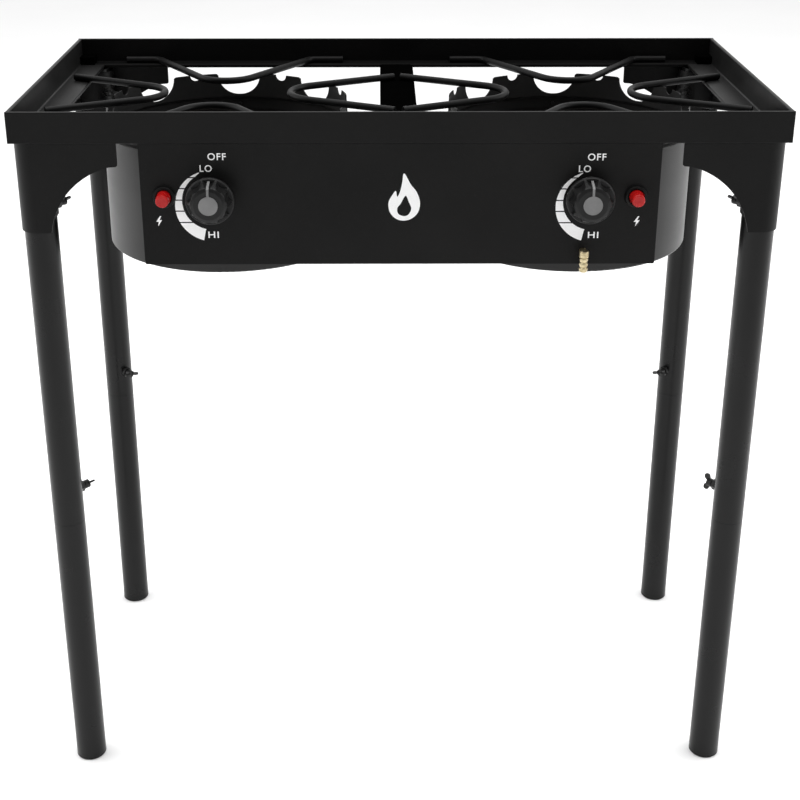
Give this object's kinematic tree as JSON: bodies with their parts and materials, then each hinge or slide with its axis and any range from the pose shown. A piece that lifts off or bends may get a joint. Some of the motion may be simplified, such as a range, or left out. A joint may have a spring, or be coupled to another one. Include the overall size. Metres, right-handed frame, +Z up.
{
  "type": "propane burner stand",
  "caption": "Free-standing outdoor gas stove: angle-iron tray on tubular legs, deep burner bowls with castellated wind guards, V-shaped pot wires and a front panel with valves and igniters.",
  "frame": {"origin": "on the ground, midway between the four feet and under the middle of the tray frame", "axes": "+X along the long side to the right as seen from the control panel, +Y from the control panel to the rear, +Z up"},
  "size_m": [0.8, 0.4158, 0.812],
  "materials": {
    "frame_paint": "satin black powder coat",
    "leg_paint": "satin black powder coat on tube",
    "wire_paint": "satin black coated rod",
    "bowl_paint": "heat-resistant semi-matt black",
    "guard_paint": "heat-resistant semi-matt black",
    "panel_paint": "satin black with white dial print",
    "hardware_black": "black oxide",
    "burner_iron": "rough casting",
    "plain_steel": "zinc plated",
    "brass": "machined",
    "knob_black": "moulded, fine texture",
    "knob_grey": "moulded",
    "button_red": "moulded",
    "igniter_black": "moulded",
    "lead_sleeve": "silicone sleeve",
    "ceramic": "glazed",
    "foot_black": "moulded"
  },
  "bodies": {
    "frame": {"front_rail": "frame_paint", "rear_rail": "frame_paint", "left_rail": "frame_paint", "right_rail": "frame_paint", "centre_channel": "frame_paint", "clamp_straps": "frame_paint", "rear_bowl_bar": "frame_paint", "bowl_hangers": "frame_paint", "corner_blocks": "igniter_black", "corner_bracket_front_left": "frame_paint", "upper_leg_front_left": "leg_paint", "corner_bracket_front_right": "frame_paint", "upper_leg_front_right": "leg_paint", "corner_bracket_rear_left": "frame_paint", "upper_leg_rear_left": "leg_paint", "corner_bracket_rear_right": "frame_paint", "upper_leg_rear_right": "leg_paint", "bracket_wing_bolts": "hardware_black", "weld_nuts": "hardware_black", "pan_screws": "hardware_black", "left_burner_side_wires": "wire_paint", "left_burner_face_wires": "wire_paint", "left_burner_bowl": "bowl_paint", "left_wind_guard": "guard_paint", "left_burner": "burner_iron", "right_burner_side_wires": "wire_paint", "right_burner_face_wires": "wire_paint", "right_burner_bowl": "bowl_paint", "right_wind_guard": "guard_paint", "right_burner": "burner_iron", "burner_posts": "plain_steel", "gas_valves": "brass", "gas_manifold": "plain_steel", "hose_inlet": "brass", "control_panel": "panel_paint", "igniter_bodies": "igniter_black", "igniter_leads": "lead_sleeve", "igniter_electrodes": "ceramic"},
    "left_stem": {"left_valve_stem": "plain_steel"},
    "left_knob": {"left_knob": "knob_black", "left_knob_insert": "knob_grey"},
    "left_shutter": {"left_air_shutter": "plain_steel"},
    "left_button": {"left_igniter_button": "button_red"},
    "right_stem": {"right_valve_stem": "plain_steel"},
    "right_knob": {"right_knob": "knob_black", "right_knob_insert": "knob_grey"},
    "right_shutter": {"right_air_shutter": "plain_steel"},
    "right_button": {"right_igniter_button": "button_red"},
    "lower_leg_front_left": {"lower_leg_front_left": "leg_paint", "foot_cap_front_left": "foot_black"},
    "wing_bolt_front_left": {"leg_wing_bolt_front_left": "hardware_black"},
    "lower_leg_front_right": {"lower_leg_front_right": "leg_paint", "foot_cap_front_right": "foot_black"},
    "wing_bolt_front_right": {"leg_wing_bolt_front_right": "hardware_black"},
    "lower_leg_rear_left": {"lower_leg_rear_left": "leg_paint", "foot_cap_rear_left": "foot_black"},
    "wing_bolt_rear_left": {"leg_wing_bolt_rear_left": "hardware_black"},
    "lower_leg_rear_right": {"lower_leg_rear_right": "leg_paint", "foot_cap_rear_right": "foot_black"},
    "wing_bolt_rear_right": {"leg_wing_bolt_rear_right": "hardware_black"}
  },
  "joints": [
    {"name": "left_valve_turn", "type": "hinge", "parent": "frame", "child": "left_stem", "pos_m": [-0.1945, -0.19, 0.7236], "axis": [0, -1, 0], "range_deg": [0, 175]},
    {"name": "left_knob_push", "type": "slide", "parent": "left_stem", "child": "left_knob", "axis": [0, 1, 0], "range_m": [0, 0.003], "stiffness_N_per_m": 500, "springref_m": -0.008},
    {"name": "left_shutter_turn", "type": "hinge", "parent": "frame", "child": "left_shutter", "pos_m": [-0.1945, -0.146, 0.7236], "axis": [0, 1, 0], "range_deg": [0, 90]},
    {"name": "left_igniter_push", "type": "slide", "parent": "frame", "child": "left_button", "axis": [0, 1, 0], "range_m": [0, 0.005], "stiffness_N_per_m": 2000, "springref_m": -0.003},
    {"name": "right_valve_turn", "type": "hinge", "parent": "frame", "child": "right_stem", "pos_m": [0.1945, -0.19, 0.7236], "axis": [0, -1, 0], "range_deg": [0, 175]},
    {"name": "right_knob_push", "type": "slide", "parent": "right_stem", "child": "right_knob", "axis": [0, 1, 0], "range_m": [0, 0.003], "stiffness_N_per_m": 500, "springref_m": -0.008},
    {"name": "right_shutter_turn", "type": "hinge", "parent": "frame", "child": "right_shutter", "pos_m": [0.1945, -0.146, 0.7236], "axis": [0, 1, 0], "range_deg": [0, 90]},
    {"name": "right_igniter_push", "type": "slide", "parent": "frame", "child": "right_button", "axis": [0, 1, 0], "range_m": [0, 0.005], "stiffness_N_per_m": 2000, "springref_m": -0.003},
    {"name": "leg_extend_front_left", "type": "slide", "parent": "frame", "child": "lower_leg_front_left", "axis": [0, 0, 1], "range_m": [-0.075, 0]},
    {"name": "leg_lock_front_left", "type": "hinge", "parent": "frame", "child": "wing_bolt_front_left", "pos_m": [-0.3784, -0.1702, 0.365], "axis": [0.7071, 0.7071, 0], "continuous": true},
    {"name": "leg_extend_front_right", "type": "slide", "parent": "frame", "child": "lower_leg_front_right", "axis": [0, 0, 1], "range_m": [-0.075, 0]},
    {"name": "leg_lock_front_right", "type": "hinge", "parent": "frame", "child": "wing_bolt_front_right", "pos_m": [0.3784, -0.1702, 0.365], "axis": [-0.7071, 0.7071, 0], "continuous": true},
    {"name": "leg_extend_rear_left", "type": "slide", "parent": "frame", "child": "lower_leg_rear_left", "axis": [0, 0, 1], "range_m": [-0.075, 0]},
    {"name": "leg_lock_rear_left", "type": "hinge", "parent": "frame", "child": "wing_bolt_rear_left", "pos_m": [-0.3784, 0.1702, 0.365], "axis": [0.7071, -0.7071, 0], "continuous": true},
    {"name": "leg_extend_rear_right", "type": "slide", "parent": "frame", "child": "lower_leg_rear_right", "axis": [0, 0, 1], "range_m": [-0.075, 0]},
    {"name": "leg_lock_rear_right", "type": "hinge", "parent": "frame", "child": "wing_bolt_rear_right", "pos_m": [0.3784, 0.1702, 0.365], "axis": [-0.7071, -0.7071, 0], "continuous": true}
  ]
}
